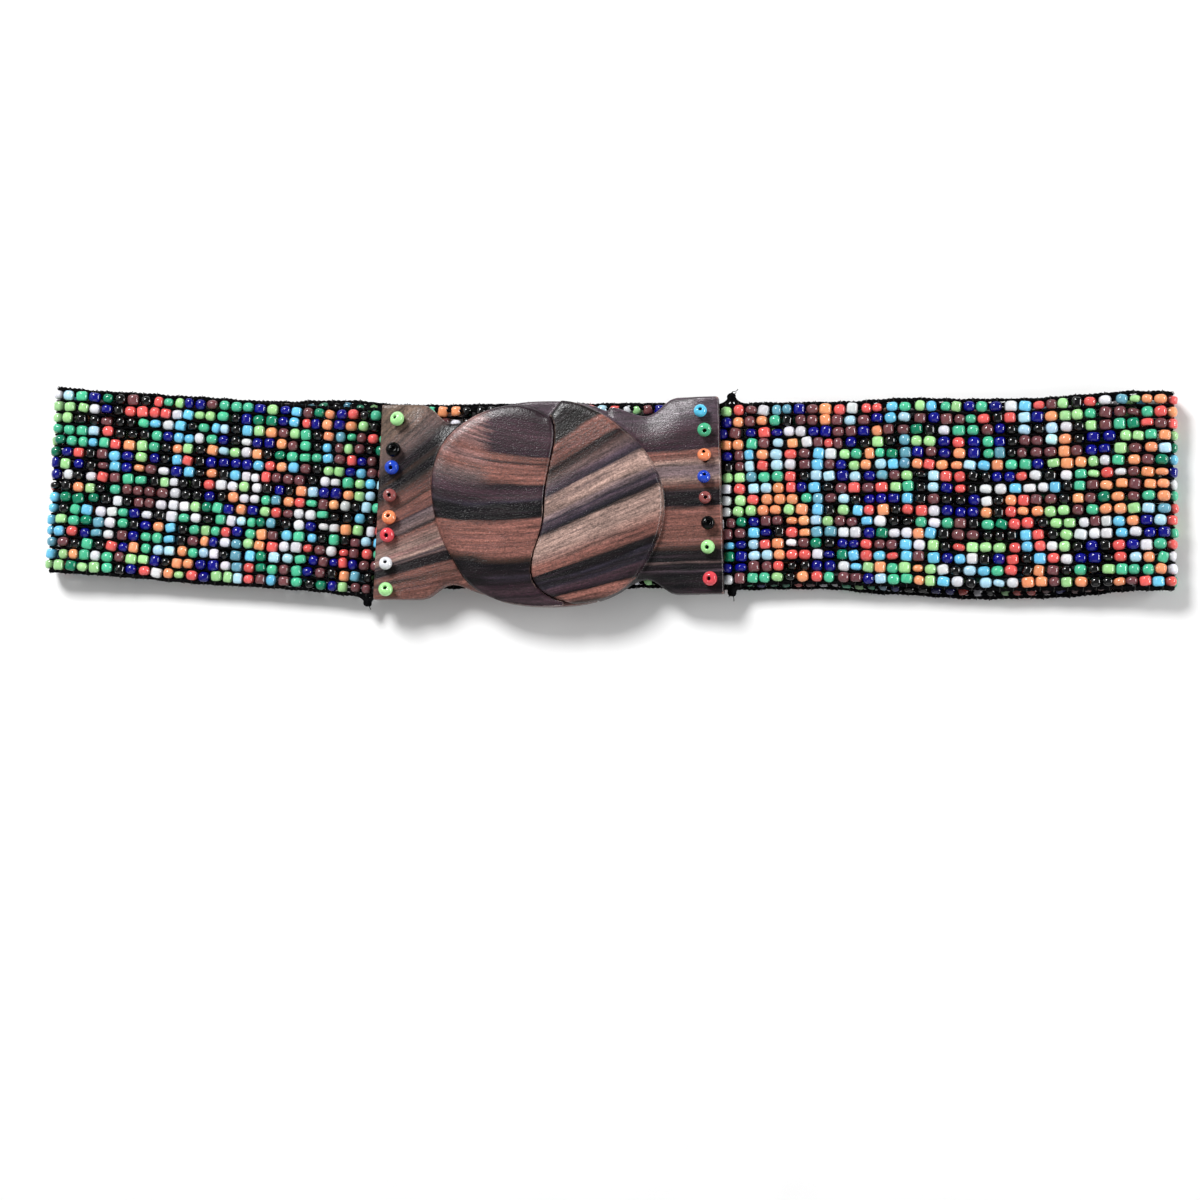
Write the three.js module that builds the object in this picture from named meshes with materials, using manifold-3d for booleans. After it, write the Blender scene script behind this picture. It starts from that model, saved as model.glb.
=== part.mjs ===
// A beaded stretch belt with a carved wooden clasp, fastened and laid flat on a table.
// Units are millimetres and +Z is up. In plan, X runs along the belt and Y across it.
import * as THREE from 'three';
import { mergeVertices } from 'three/addons/utils/BufferGeometryUtils.js';
import Module from 'manifold-3d';

const wasm = await Module();
wasm.setup();

// Bead band: one woven strip, folded flat into a back layer and two front layers
const loopLength = 366; // outside of one fold to outside of the other
const bandWidth = 61.5; // sixteen rows of beads and a border cord on each side
const beadAcross = 3.9; // a seed bead's diameter, which is the band's thickness
const layerGap = 0.5; // between the layers where the belt lies flattest
const foldGap = 2.7; // clear height inside a fold
const foldDepth = 2.7; // how far the band's middle reaches past a fold's axis
const foldRun = 42; // the length over which a front layer comes down from its fold
const columnTurn = 0.5; // how much of the band's heading its columns of beads follow
const sectionStep = 8; // spacing of the band's sections
const foldSteps = 6; // sections round a fold
const edgeSteps = 4; // sides of the band's half-round edge

// Clasp: two carved halves that lap each other
const discReach = 33; // from the disc's centre to its lower rim
const plateReach = 55.6; // from the disc's centre to a plate's outer edge
const plateWidth = 63;
const stripLength = 14.3; // a plate's straight edge, before the waist
const waistInset = 24; // from a plate's outer edge to the narrowest place
const shoulderLength = 12; // from the narrowest place to the shoulder's top
const stripThick = 3.7; // the plate over the end of the band
const plateThick = 5.9; // the plate beside it
const discRise = 3.7; // the disc's face above the plate
const hookReach = 15.5; // how far a half runs on under the other one
const ribWide = 2.5; // the rib under a tongue, which catches in a groove
const ribDrop = 2;
const ribInset = 2.5; // from the middle of the disc to the rib's side
const ribStart = 3; // and to its near end
const ribSpan = 19;
const faceDip = 1.3; // how far a face drops beside the other half's tongue
const plateBevel = 0.7;
const discBevel = 0.8;
const seamGap = 0.3; // between the halves wherever they meet
const rimStepDegrees = 6; // between points round the rim
const tongueSteps = 12; // sides of a tongue's edge
const swellSteps = 5; // sides of each curve beside a waist
const claspX = -15.2; // the disc's centre, from the middle of the loop
const claspY = -3.1;

// Stopper beads, and the cord ends that hold them
const stopperAcross = 4.6;
const stopperHigh = 3;
const stopperBore = 1.5;
const stopperSides = 12;
const ovalSteps = 8; // sides of a stopper bead's wall
const tieAcross = 0.8;
const tieShort = 0.5; // how far a cord end stays below its bead's top
const tieSides = 6;
const tieSteps = 6;
const holeAcross = 1.9; // the holes through the plates
const holeSides = 10;
const holeInset = 4.7; // from a plate's outer edge to its row of beads
const endOverlap = 6.3; // how far the band runs in under a plate
const rebateLength = 7.8; // the thin strip of the plate above it
const knotAcross = 2.8;
const knotReach = 3; // from a plate's outer edge to a knot
const seatGap = 0.3; // between pieces that rest on each other

const halfLength = loopLength / 2;
const foldX = halfLength - beadAcross / 2 - foldDepth;
const backHeight = beadAcross / 2;
const frontFlat = 1.5 * beadAcross + layerGap;
const bandTop = 2 * beadAcross + layerGap;
const stripUnder = bandTop + seatGap;
const plateTop = stripUnder + stripThick;
const plateUnder = plateTop - plateThick;
const discTop = plateTop + discRise;
const tongueUnder = plateTop + seamGap;

// The band's route, a row for each place where it bends or changes width.
// along: share of half the loop's length; side and width: shares of the band's width.
const frontLeftRows = [
  { along: -0.975, side: 0.122, width: 1.005 },
  { along: -0.865, side: 0.098, width: 1.0 },
  { along: -0.72, side: 0.057, width: 1.01 },
  { along: -0.53, side: 0.012, width: 0.998 },
  { along: -0.4, side: -0.018, width: 1.014 },
  { along: -0.33, side: -0.03, width: 1.014 },
];
const backRows = [
  { along: -0.975, side: 0.122, width: 1.005 },
  { along: -0.865, side: 0.098, width: 1.0 },
  { along: -0.72, side: 0.062, width: 1.0 },
  { along: -0.57, side: 0.036, width: 1.005 },
  { along: -0.45, side: 0.043, width: 1.0 },
  { along: -0.36, side: 0.021, width: 0.99 },
  { along: -0.1, side: 0.013, width: 0.985 },
  { along: 0.07, side: 0.003, width: 0.985 },
  { along: 0.27, side: -0.01, width: 0.985 },
  { along: 0.45, side: -0.022, width: 0.99 },
  { along: 0.58, side: -0.05, width: 0.995 },
  { along: 0.67, side: -0.063, width: 1.0 },
  { along: 0.8, side: -0.054, width: 1.005 },
  { along: 0.89, side: -0.031, width: 1.015 },
  { along: 0.975, side: -0.021, width: 1.02 },
];
const frontRightRows = [
  { along: 0.18, side: -0.008, width: 0.965 },
  { along: 0.41, side: -0.009, width: 0.957 },
  { along: 0.53, side: -0.011, width: 0.985 },
  { along: 0.67, side: -0.025, width: 0.996 },
  { along: 0.8, side: -0.0245, width: 1.005 },
  { along: 0.885, side: -0.017, width: 1.018 },
  { along: 0.975, side: -0.021, width: 1.02 },
];

// The clasp's rim round the disc's centre, from the end of the lower part to where the tongue's edge starts.
// It is hand carved, so the halves differ a little. turn: degrees from the plate's side towards the tongue's;
// the rest: shares of discReach. rear is the rim of the lower part, which runs on under the other half.
const rimRows = [
  { turn: -116, left: 1.06, right: 1.06, rear: 1.06 },
  { turn: -103, left: 1.02, right: 1.02, rear: 1.02 },
  { turn: -90, left: 1.0, right: 1.0, rear: 1.0 },
  { turn: -75, left: 1.015, right: 1.01, rear: 1.018 },
  { turn: -60, left: 1.06, right: 1.01, rear: 1.06 },
  { turn: -45, left: 1.085, right: 1.02, rear: 1.06 },
  { turn: -30, left: 1.07, right: 1.06, rear: 1.06 },
  { turn: -15, left: 1.09, right: 1.105, rear: 1.08 },
  { turn: 0, left: 1.125, right: 1.13, rear: 1.1 },
  { turn: 15, left: 1.17, right: 1.13, rear: 1.12 },
  { turn: 30, left: 1.19, right: 1.12, rear: 1.12 },
  { turn: 45, left: 1.14, right: 1.125, rear: 1.12 },
  { turn: 60, left: 1.075, right: 1.08, rear: 1.075 },
  { turn: 75, left: 0.995, right: 1.015, rear: 1.01 },
];
const tongueTurn = rimRows[rimRows.length - 1].turn;

// The free edge of each half's tongue, in shares of discReach.
// up: from the disc's centre towards the rim; the rest: past the centre, away from the plate.
const tongueRows = [
  { up: 0, left: -0.023, right: 0.023 },
  { up: 0.15, left: -0.009, right: 0.03 },
  { up: 0.3, left: 0.018, right: 0.062 },
  { up: 0.45, left: 0.05, right: 0.118 },
  { up: 0.6, left: 0.075, right: 0.147 },
  { up: 0.72, left: 0.075, right: 0.142 },
  { up: 0.81, left: 0.048, right: 0.09 },
  { up: 0.89, left: -0.045, right: 0 },
  { up: 0.94, left: -0.16, right: -0.12 },
];
const tongueTip = tongueRows[tongueRows.length - 1].up;

// What differs between the halves. lean: the plate's outer edge, in degrees off upright.
// shift: the plate's middle above the disc's; tongueWaist and hookWaist: how deep the plate narrows on the
// tongue's side and on the other side; tongueShoulder and hookShoulder: how far it widens again.
// All five are shares of plateWidth. cornerUp: how much of the other half's tongue the face follows,
// in shares of discReach; cornerTurn: where the face then meets the rim, as in rimRows.
const halves = {
  left: {
    other: 'right', turned: false, lean: 2.4, shift: 0.021, tongueWaist: 0.102, hookWaist: 0.075,
    tongueShoulder: 0.032, hookShoulder: 0.056, cornerUp: 0.94, cornerTurn: -99,
  },
  right: {
    other: 'left', turned: true, lean: -1.5, shift: -0.032, tongueWaist: 0.078, hookWaist: 0.092,
    tongueShoulder: 0.063, hookShoulder: 0.051, cornerUp: 0.81, cornerTurn: -82,
  },
};

// The stopper beads. up: share of the plate's width, from its middle towards the tongue's side;
// inset: share of holeInset; lean: degrees off upright, towards heading, counted in plan from the tongue.
const stoppers = {
  left: [
    { up: 0.423, inset: 1.19, colour: 'lime', lean: 26, heading: 150 },
    { up: 0.263, inset: 1.06, colour: 'black', lean: 12, heading: 60 },
    { up: 0.172, inset: 1, colour: 'blue', lean: 9, heading: 250 },
    { up: 0.029, inset: 0.94, colour: 'brown', lean: 3, heading: 0 },
    { up: -0.083, inset: 0.98, colour: 'orange', lean: 17, heading: 92 },
    { up: -0.174, inset: 0.9, colour: 'red', lean: 10, heading: 270 },
    { up: -0.317, inset: 0.9, colour: 'white', lean: 18, heading: 80 },
    { up: -0.45, inset: 0.98, colour: 'lime', lean: 18, heading: 80 },
  ],
  right: [
    { up: 0.425, inset: 0.87, colour: 'red', lean: 12, heading: 20 },
    { up: 0.266, inset: 0.96, colour: 'lime', lean: 12, heading: 60 },
    { up: 0.145, inset: 0.9, colour: 'black', lean: 10, heading: 210 },
    { up: 0.017, inset: 1.04, colour: 'brown', lean: 12, heading: 165 },
    { up: -0.094, inset: 1.04, colour: 'blue', lean: 30, heading: 242 },
    { up: -0.21, inset: 1.02, colour: 'orange', lean: 36, heading: 272 },
    { up: -0.321, inset: 0.94, colour: 'green', lean: 22, heading: 115 },
    { up: -0.423, inset: 1.19, colour: 'sky', lean: 18, heading: 260 },
  ],
};

// The knots that end the border cords. side: -1 for the left plate; edge: -1 for the band's lower edge.
const knots = [
  { name: 'border_knot_left_lower', side: -1, edge: -1 },
  { name: 'border_knot_right_upper', side: 1, edge: 1 },
  { name: 'border_knot_right_lower', side: 1, edge: -1 },
];

const finishes = {
  wood: { color: 0x5b3a2c, roughness: 0.45, metalness: 0 },
  band: { color: 0x2c2f3a, roughness: 0.35, metalness: 0 },
  cord: { color: 0x0a0a0c, roughness: 0.9, metalness: 0 },
  lime: { color: 0x86d95f, roughness: 0.15, metalness: 0 },
  black: { color: 0x060608, roughness: 0.15, metalness: 0 },
  blue: { color: 0x10209c, roughness: 0.15, metalness: 0 },
  brown: { color: 0x5c322f, roughness: 0.15, metalness: 0 },
  orange: { color: 0xf0823a, roughness: 0.15, metalness: 0 },
  red: { color: 0xdf3838, roughness: 0.15, metalness: 0 },
  white: { color: 0xe9ecf2, roughness: 0.15, metalness: 0 },
  sky: { color: 0x4fb6e2, roughness: 0.15, metalness: 0 },
  green: { color: 0x1f9c68, roughness: 0.15, metalness: 0 },
};

const { clamp, degToRad, smoothstep } = THREE.MathUtils;

function namedMesh(name, geometry, finish) {
  const mesh = new THREE.Mesh(geometry, new THREE.MeshStandardMaterial(finishes[finish]));
  mesh.name = name;
  return mesh;
}

// One column of a table between its rows, on a smooth curve through them.
function readRows(rows, key, column, at) {
  const last = rows.length - 1;
  const place = clamp(at, rows[0][key], rows[last][key]);
  let i = 0;
  while (i < last - 1 && place > rows[i + 1][key]) i += 1;
  const low = rows[i];
  const high = rows[i + 1];
  const before = rows[Math.max(i - 1, 0)];
  const after = rows[Math.min(i + 2, last)];
  const span = high[key] - low[key];
  const slopeLow = (high[column] - before[column]) / (high[key] - before[key]);
  const slopeHigh = (after[column] - low[column]) / (after[key] - low[key]);
  const t = (place - low[key]) / span;
  const u = 1 - t;
  return (1 + 2 * t) * u * u * low[column] + t * u * u * span * slopeLow
    + t * t * (3 - 2 * t) * high[column] - t * t * u * span * slopeHigh;
}

// A closed geometry as a solid that can be cut and joined.
function toSolid(geometry) {
  geometry.deleteAttribute('normal');
  geometry.deleteAttribute('uv');
  const merged = mergeVertices(geometry, 1e-4);
  return new wasm.Manifold(new wasm.Mesh({
    numProp: 3,
    vertProperties: new Float32Array(merged.attributes.position.array),
    triVerts: new Uint32Array(merged.index.array),
  }));
}

function toGeometry(solid) {
  const mesh = solid.getMesh();
  const geometry = new THREE.BufferGeometry();
  geometry.setAttribute('position', new THREE.BufferAttribute(mesh.vertProperties, 3));
  geometry.setIndex(new THREE.BufferAttribute(mesh.triVerts, 1));
  geometry.computeVertexNormals();
  return geometry;
}

// A flat outline raised from one height to another, with both its edges bevelled.
function raiseOutline(points, low, high, bevel) {
  const geometry = new THREE.ExtrudeGeometry(new THREE.Shape(points), {
    depth: high - low - 2 * bevel,
    bevelThickness: bevel,
    bevelSize: bevel,
    bevelOffset: -bevel,
    bevelSegments: 2,
  });
  geometry.translate(0, 0, low + bevel);
  return toSolid(geometry);
}

// A box between two opposite corners.
function block(low, high) {
  const size = new THREE.Vector3(...high).sub(new THREE.Vector3(...low));
  const geometry = new THREE.BoxGeometry(size.x, size.y, size.z);
  geometry.translate(low[0] + size.x / 2, low[1] + size.y / 2, low[2] + size.z / 2);
  return geometry;
}

// The band's middle line and its direction across, at a share of half the loop's length.
function bandSection(rows, along, height, outward) {
  const ends = [rows[0].along, rows[rows.length - 1].along];
  const [from, to] = [along - 0.01, along + 0.01].map((place) => clamp(place, ...ends));
  const climb = (readRows(rows, 'along', 'side', to) - readRows(rows, 'along', 'side', from)) * bandWidth;
  const turn = columnTurn * Math.atan2(climb, (to - from) * halfLength);
  return {
    centre: new THREE.Vector3(along * halfLength, readRows(rows, 'along', 'side', along) * bandWidth, height),
    across: new THREE.Vector3(-Math.sin(turn), Math.cos(turn), 0),
    outward: new THREE.Vector3(0, 0, outward),
    width: readRows(rows, 'along', 'width', along) * bandWidth,
  };
}

// The height of a front layer's middle: flat near the clasp, lifted towards its fold.
function frontHeight(x) {
  return frontFlat + (foldGap - layerGap) * smoothstep(Math.abs(x), foldX - foldRun, foldX);
}

function layerSections(rows, from, to, heightAt, outward) {
  const count = Math.max(2, Math.round(Math.abs(to - from) / sectionStep));
  return Array.from({ length: count + 1 }, (_, i) => {
    const x = from + (to - from) * i / count;
    return bandSection(rows, x / halfLength, heightAt(x), outward);
  });
}

// Sections round a fold, from the front layer to the back one. side: -1 at the left, 1 at the right.
function foldSections(rows, side) {
  const rise = (frontHeight(foldX) - backHeight) / 2;
  return Array.from({ length: foldSteps - 1 }, (_, i) => {
    const turn = Math.PI * (i + 1) / foldSteps;
    const section = bandSection(rows, side * foldX / halfLength, backHeight + rise * (1 + Math.cos(turn)), 1);
    const away = new THREE.Vector3(section.across.y, -section.across.x, 0).multiplyScalar(side);
    section.centre.addScaledVector(away, foldDepth * Math.sin(turn));
    away.multiplyScalar(Math.sin(turn) / foldDepth);
    section.outward.set(away.x, away.y, Math.cos(turn) / rise).normalize();
    return section;
  });
}

// The band's cross-section: flat faces and half-round edges, as steps across and outward.
function bandOutline(width) {
  const round = beadAcross / 2;
  const points = [];
  for (const side of [1, -1]) {
    for (let i = 0; i <= edgeSteps; i += 1) {
      const turn = Math.PI * i / edgeSteps;
      points.push([side * (width / 2 - round + round * Math.sin(turn)), side * round * Math.cos(turn)]);
    }
  }
  return points;
}

// A closed skin over a run of sections.
function loftBand(sections) {
  const sides = 2 * (edgeSteps + 1);
  const positions = [];
  const faces = [];
  for (const { centre, across, outward, width } of sections) {
    for (const [sideways, up] of bandOutline(width)) {
      positions.push(...centre.clone().addScaledVector(across, sideways).addScaledVector(outward, up));
    }
  }
  for (let s = 0; s < sections.length - 1; s += 1) {
    for (let i = 0; i < sides; i += 1) {
      const a = s * sides + i;
      const b = s * sides + (i + 1) % sides;
      faces.push(a, b, a + sides, b, b + sides, a + sides);
    }
  }
  const last = (sections.length - 1) * sides;
  for (let i = 1; i < sides - 1; i += 1) {
    faces.push(0, i + 1, i, last, last + i, last + i + 1);
  }
  const geometry = new THREE.BufferGeometry();
  geometry.setAttribute('position', new THREE.Float32BufferAttribute(positions, 3));
  geometry.setIndex(faces);
  geometry.computeVertexNormals();
  return geometry;
}

// Where the band ends under a plate. side: -1 at the left, 1 at the right.
function bandEnd(side) {
  return claspX + side * (plateReach - endOverlap);
}

function buildBand() {
  return namedMesh('bead_band', loftBand([
    ...layerSections(frontLeftRows, bandEnd(-1), -foldX, frontHeight, 1),
    ...foldSections(frontLeftRows, -1),
    ...layerSections(backRows, -foldX, foldX, () => backHeight, -1),
    ...foldSections(frontRightRows, 1).reverse(),
    ...layerSections(frontRightRows, foldX, bandEnd(1), frontHeight, 1),
  ]), 'band');
}

// A clasp half is carved in its own frame, with its plate towards -X and its tongue towards +Y.

function rimPoint(column, turn) {
  const reach = readRows(rimRows, 'turn', column, turn) * discReach;
  return new THREE.Vector2(-reach * Math.cos(degToRad(turn)), reach * Math.sin(degToRad(turn)));
}

function rimArc(column, from, to) {
  const count = Math.ceil(Math.abs(to - from) / rimStepDegrees);
  return Array.from({ length: count + 1 }, (_, i) => rimPoint(column, from + (to - from) * i / count));
}

// Points up the edge of one half's tongue, to a share of discReach.
function tongueEdge(side, reach) {
  return Array.from({ length: tongueSteps + 1 }, (_, i) => {
    const up = reach * Math.sin(Math.PI / 2 * i / tongueSteps);
    return new THREE.Vector2(readRows(tongueRows, 'up', side, up) * discReach, up * discReach);
  });
}

// The edge of the other half's tongue, as this half meets it.
function otherEdge(side, reach) {
  return tongueEdge(halves[side].other, reach).map((point) => point.negate());
}

// The face of the disc on one half: its own tongue's edge, the rim, and on past the other tongue's edge,
// so that its bevel there is cut away.
function faceOutline(side) {
  const { cornerUp, cornerTurn } = halves[side];
  return [
    ...tongueEdge(side, tongueTip).map((point) => point.setX(point.x - seamGap / 2)),
    ...rimArc(side, tongueTurn, cornerTurn),
    ...otherEdge(side, cornerUp).slice(1).reverse().map((point) => point.setX(point.x + 2 * discBevel)),
  ];
}

// The room for the other half's tongue, beside the face and above the lower part.
function tongueCutter(side) {
  const corner = rimPoint(halves[side].other, tongueTurn).negate();
  const outline = [...otherEdge(side, tongueTip), corner].map((point) => (
    new THREE.Vector2(point.x - seamGap / 2, point.y * (1 + seamGap / discReach))
  ));
  const beyond = 2 * discReach;
  outline.push(new THREE.Vector2(beyond, corner.y), new THREE.Vector2(beyond, 0));
  const options = { depth: beyond, bevelEnabled: false };
  const geometry = new THREE.ExtrudeGeometry(new THREE.Shape(outline), options);
  geometry.translate(0, 0, plateTop);
  return toSolid(geometry);
}

// The lower part of the disc, which runs on under the other half's tongue.
function rearOutline() {
  const rim = rimArc('rear', 0, rimRows[0].turn).filter((point) => point.x < hookReach);
  return [
    new THREE.Vector2(-hookReach - seamGap, -seamGap / 2),
    ...rim,
    new THREE.Vector2(hookReach, rim[rim.length - 1].y),
    new THREE.Vector2(hookReach, -seamGap / 2),
  ];
}

// A smooth step from one point to another, level at both ends.
function swell(from, to) {
  return Array.from({ length: swellSteps + 1 }, (_, i) => new THREE.Vector2(
    from.x + (to.x - from.x) * i / swellSteps,
    from.y + (to.y - from.y) * (1 - Math.cos(Math.PI * i / swellSteps)) / 2,
  ));
}

// How far out a plate's outer edge is at a distance up from the disc's centre.
function outerEdge({ shift, lean }, y) {
  return -plateReach + (y - shift * plateWidth) * Math.tan(degToRad(lean));
}

function plateOutline(half) {
  const [upper, lower] = [0.5, -0.5].map((share) => (half.shift + share) * plateWidth);
  const tongueWaist = upper - half.tongueWaist * plateWidth;
  const hookWaist = lower + half.hookWaist * plateWidth;
  const stripX = -plateReach + stripLength;
  const waistX = -plateReach + waistInset;
  const shoulderX = waistX + shoulderLength;
  const point = (x, y) => new THREE.Vector2(x, y);
  const inside = discReach / 2;
  return [
    point(outerEdge(half, upper), upper),
    point(outerEdge(half, lower), lower),
    ...swell(point(stripX, lower), point(waistX, hookWaist)),
    ...swell(point(waistX, hookWaist), point(shoulderX, hookWaist - half.hookShoulder * plateWidth)).slice(1),
    point(-hookReach, -inside),
    point(-hookReach, inside),
    ...swell(point(shoulderX, tongueWaist + half.tongueShoulder * plateWidth), point(waistX, tongueWaist)),
    ...swell(point(waistX, tongueWaist), point(stripX, upper)).slice(1),
  ];
}

// The room above the band's end, parallel to the plate's outer edge.
function rebateCutter({ shift, lean }) {
  const geometry = block([-rebateLength, -plateWidth, 0], [rebateLength, plateWidth, stripUnder]);
  geometry.rotateZ(-degToRad(lean));
  geometry.translate(-plateReach, shift * plateWidth, 0);
  return toSolid(geometry);
}

// The room for the other half's lower part, under this half's tongue.
function pocketCutter() {
  return toSolid(block([-hookReach - seamGap, -seamGap / 2, 0], [2 * discReach, 2 * discReach, tongueUnder]));
}

// A slab whose underside falls from the disc's centre towards the corner beside the other half's tongue.
function dipCutter() {
  const falling = Math.PI / 4;
  const geometry = block([0, -2 * discReach, 0], [2 * discReach, 2 * discReach, discRise]);
  geometry.rotateY(Math.atan(faceDip / (discReach * Math.sin(falling))));
  geometry.rotateZ(-falling);
  geometry.translate(0, 0, discTop);
  return toSolid(geometry);
}

// The rib under the tongue, or the groove for the other half's rib in the lower part.
function ribBlock(clearance) {
  const low = [-ribInset - ribWide - clearance, ribStart - clearance, tongueUnder - ribDrop - clearance];
  const high = [-ribInset + clearance, ribStart + ribSpan + clearance, tongueUnder + discRise / 2];
  return block(low, high);
}

// A bead's place and the axis of its hole. The axis meets the plate's top at the hole for its cord.
function stopperPlace(side, { up, inset, lean, heading }) {
  const half = halves[side];
  const y = (half.shift + up) * plateWidth;
  const axis = new THREE.Vector3(0, 0, 1)
    .applyAxisAngle(new THREE.Vector3(0, 1, 0), degToRad(lean))
    .applyAxisAngle(new THREE.Vector3(0, 0, 1), degToRad(heading));
  const rise = seatGap + stopperHigh / 2 * axis.z + stopperAcross / 2 * Math.sin(degToRad(lean));
  const centre = new THREE.Vector3(outerEdge(half, y) + inset * holeInset, y, plateTop + rise);
  const hole = centre.clone().addScaledVector(axis, -rise / axis.z);
  return { centre, axis, hole };
}

function holeCutter({ hole }) {
  const geometry = new THREE.CylinderGeometry(holeAcross / 2, holeAcross / 2, 4 * plateThick, holeSides);
  geometry.rotateX(Math.PI / 2);
  geometry.translate(hole.x, hole.y, plateTop);
  return toSolid(geometry);
}

function buildHalf(side) {
  const half = halves[side];
  const groove = ribBlock(seamGap).rotateZ(Math.PI);
  let solid = raiseOutline(faceOutline(side), plateUnder, discTop, discBevel)
    .subtract(dipCutter())
    .add(raiseOutline(plateOutline(half), plateUnder, plateTop, plateBevel))
    .subtract(pocketCutter())
    .subtract(tongueCutter(side))
    .add(toSolid(ribBlock(0)))
    .add(raiseOutline(rearOutline(), plateUnder, plateTop, plateBevel))
    .subtract(toSolid(groove))
    .subtract(rebateCutter(half));
  for (const row of stoppers[side]) {
    solid = solid.subtract(holeCutter(stopperPlace(side, row)));
  }
  return namedMesh(`clasp_half_${side}`, toGeometry(solid), 'wood');
}

// A glass ring with an oval wall, round the Z axis.
function stopperGeometry() {
  const wall = (stopperAcross - stopperBore) / 4;
  const profile = Array.from({ length: ovalSteps + 1 }, (_, i) => {
    const turn = 2 * Math.PI * (i % ovalSteps) / ovalSteps;
    return new THREE.Vector2(stopperBore / 2 + wall * (1 + Math.cos(turn)), stopperHigh / 2 * Math.sin(turn));
  });
  const geometry = new THREE.LatheGeometry(profile, stopperSides);
  geometry.rotateX(Math.PI / 2);
  return geometry;
}

function buildStopper(side, row, number) {
  const { centre, axis } = stopperPlace(side, row);
  const mesh = namedMesh(`stopper_bead_${side}_${number}`, stopperGeometry(), row.colour);
  mesh.quaternion.setFromUnitVectors(new THREE.Vector3(0, 0, 1), axis);
  mesh.position.copy(centre);
  return mesh;
}

// A cord end, up from the band through the plate's hole and the bead's.
function buildTie(side, row, number) {
  const { centre, axis, hole } = stopperPlace(side, row);
  const route = new THREE.CatmullRomCurve3([
    hole.clone().setZ(bandTop + seatGap),
    hole.clone().setZ(plateTop - tieAcross),
    centre.clone().addScaledVector(axis, -stopperHigh / 2),
    centre.clone().addScaledVector(axis, stopperHigh / 2 - tieShort),
  ]);
  const section = Array.from({ length: tieSides }, (_, i) => {
    const turn = 2 * Math.PI * i / tieSides;
    return new THREE.Vector2(Math.cos(turn), Math.sin(turn)).multiplyScalar(tieAcross / 2);
  });
  const options = { extrudePath: route, steps: tieSteps };
  const geometry = new THREE.ExtrudeGeometry(new THREE.Shape(section), options);
  return namedMesh(`stopper_tie_${side}_${number}`, geometry, 'cord');
}

// One clasp half with its beads and cord ends, turned face up to its side of the disc.
function buildSide(side) {
  const group = new THREE.Group();
  group.add(buildHalf(side));
  stoppers[side].forEach((row, i) => {
    group.add(buildStopper(side, row, i + 1), buildTie(side, row, i + 1));
  });
  group.rotation.z = halves[side].turned ? Math.PI : 0;
  group.position.set(claspX, claspY, 0);
  return group;
}

// A knot just outside the band's edge, beside a plate.
function buildKnot({ name, side, edge }) {
  const rows = side < 0 ? frontLeftRows : frontRightRows;
  const along = (claspX + side * (plateReach + knotReach)) / halfLength;
  const section = bandSection(rows, along, frontFlat, 1);
  const knot = namedMesh(name, new THREE.SphereGeometry(knotAcross / 2, 8, 6), 'cord');
  knot.position.copy(section.centre)
    .addScaledVector(section.across, edge * (section.width / 2 + seatGap + knotAcross / 2));
  return knot;
}

const belt = new THREE.Group();
belt.add(buildBand(), buildSide('left'), buildSide('right'), ...knots.map(buildKnot));

// The origin is on the table, under the middle of the belt.
const bounds = new THREE.Box3().setFromObject(belt, true);
const middle = bounds.getCenter(new THREE.Vector3());
belt.position.set(-middle.x, -middle.y, -bounds.min.z);

export default belt;
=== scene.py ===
# A beaded stretch belt with a carved wooden clasp, laid flat on a pale table.
import math

import bmesh
import bpy
import numpy as np
from mathutils import Matrix, Vector, kdtree


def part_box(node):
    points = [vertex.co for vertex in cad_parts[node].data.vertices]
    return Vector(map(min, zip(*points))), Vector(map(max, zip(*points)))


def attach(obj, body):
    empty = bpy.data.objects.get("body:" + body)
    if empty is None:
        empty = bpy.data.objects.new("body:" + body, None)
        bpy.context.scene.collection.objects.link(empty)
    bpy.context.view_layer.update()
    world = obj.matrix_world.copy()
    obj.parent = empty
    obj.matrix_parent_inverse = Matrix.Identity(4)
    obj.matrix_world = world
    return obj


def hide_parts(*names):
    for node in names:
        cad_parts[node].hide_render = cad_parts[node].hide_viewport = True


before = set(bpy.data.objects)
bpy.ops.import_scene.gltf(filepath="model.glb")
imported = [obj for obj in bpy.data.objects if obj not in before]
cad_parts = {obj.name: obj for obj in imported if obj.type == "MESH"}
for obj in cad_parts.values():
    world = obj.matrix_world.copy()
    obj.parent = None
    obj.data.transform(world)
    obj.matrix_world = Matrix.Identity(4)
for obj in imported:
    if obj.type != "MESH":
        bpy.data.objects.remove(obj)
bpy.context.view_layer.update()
mm = 0.001


def linear(code):  # a colour as shown on screen, as the shader needs it
    parts = [int(code[i:i + 2], 16) / 255 for i in (0, 2, 4)]
    return [(c / 12.92 if c < 0.04045 else ((c + 0.055) / 1.055) ** 2.4) for c in parts]


# ---- helpers for meshes and nodes

def selectOnly(obj):
    bpy.ops.object.select_all(action="DESELECT")
    obj.select_set(True)
    bpy.context.view_layer.objects.active = obj


def selectFaces(obj, test):  # in edit mode
    bm = bmesh.from_edit_mesh(obj.data)
    bpy.ops.mesh.select_all(action="DESELECT")
    for face in bm.faces:
        face.select = test(face)
    bmesh.update_edit_mesh(obj.data)


def selectBoundary(obj):  # in edit mode
    bm = bmesh.from_edit_mesh(obj.data)
    bpy.ops.mesh.select_all(action="DESELECT")
    for edge in bm.edges:
        edge.select = edge.is_boundary
    bmesh.update_edit_mesh(obj.data)


def applyModifier(obj, kind, **settings):
    selectOnly(obj)
    modifier = obj.modifiers.new(kind, kind)
    for key, value in settings.items():
        setattr(modifier, key, value)
    bpy.ops.object.modifier_apply(modifier=modifier.name)


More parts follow.
